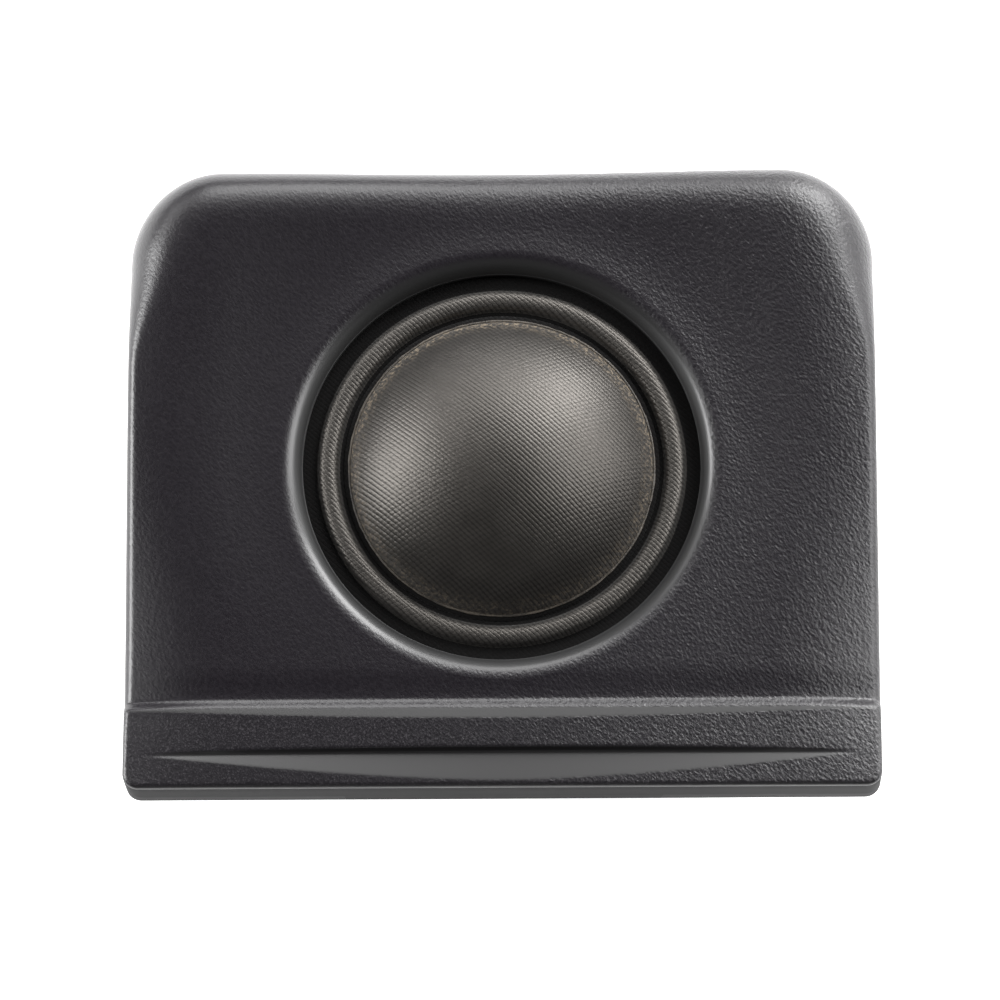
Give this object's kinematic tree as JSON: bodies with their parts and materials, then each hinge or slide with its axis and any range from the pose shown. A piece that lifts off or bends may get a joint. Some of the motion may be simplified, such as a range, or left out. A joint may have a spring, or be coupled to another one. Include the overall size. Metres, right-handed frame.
{
  "type": "car tweeter",
  "caption": "Soft dome car tweeter in a moulded trim faceplate with a stepped ledge, closed at the back by a screwed cover with a plug socket.",
  "frame": {"origin": "the point where the dome's axis meets the flat base of the rear cover", "axes": "+Z along the dome's axis, out of the front; +Y towards the rounded edge of the faceplate, so the ledge is at -Y; +X to the right seen from the front"},
  "size_m": [0.061, 0.0522, 0.0217],
  "materials": {
    "faceplate_plastic": "fine leather grain, with a smoother lip and smooth scoops",
    "dome_cloth": "coated woven cloth",
    "adhesive": "speckled cured adhesive",
    "coil_former": "thin rolled foil",
    "copper": "enamelled or tinned copper wire",
    "frame_plastic": "moulded satin",
    "foam": "open cell foam",
    "plated_steel": "zinc plated",
    "magnet_metal": "nickel plated",
    "felt": "pressed felt",
    "cover_plastic": "moulded satin",
    "screw_steel": "zinc plated",
    "board": "phenolic paper board",
    "contact_brass": "stamped and tinned",
    "capacitor_sleeve": "shrink sleeve",
    "tinned_wire": "tinned",
    "wire_red": "soft insulation",
    "wire_black": "soft insulation",
    "socket_plastic": "moulded"
  },
  "bodies": {
    "housing": {"faceplate": "faceplate_plastic", "surround": "dome_cloth", "front_frame": "frame_plastic", "foam_gasket": "foam", "pole_plate": "plated_steel", "pole_damping_felt": "felt", "magnet": "magnet_metal", "yoke_cup": "plated_steel", "rear_cover": "cover_plastic", "retaining_screws": "screw_steel", "terminal_board": "board", "terminal_tab_positive": "contact_brass", "terminal_tab_negative": "contact_brass", "terminal_rivets": "contact_brass", "lead_wire_positive": "copper", "lead_wire_negative": "copper", "crossover_capacitor": "capacitor_sleeve", "capacitor_leads": "tinned_wire", "hookup_wire_input": "wire_red", "hookup_wire_positive": "wire_red", "hookup_wire_negative": "wire_black", "connector_socket": "socket_plastic", "connector_pin_positive": "contact_brass", "connector_pin_negative": "contact_brass"},
    "diaphragm": {"diaphragm_dome": "dome_cloth", "dome_glue_ring": "adhesive", "voice_coil_former": "coil_former", "voice_coil_winding": "copper"}
  },
  "joints": [
    {"name": "dome_travel", "type": "slide", "parent": "housing", "child": "diaphragm", "axis": [0, 0, 1], "range_m": [-0.0005, 0.0005], "stiffness_N_per_m": 200, "deforming": ["surround", "lead_wire_positive", "lead_wire_negative"]}
  ]
}
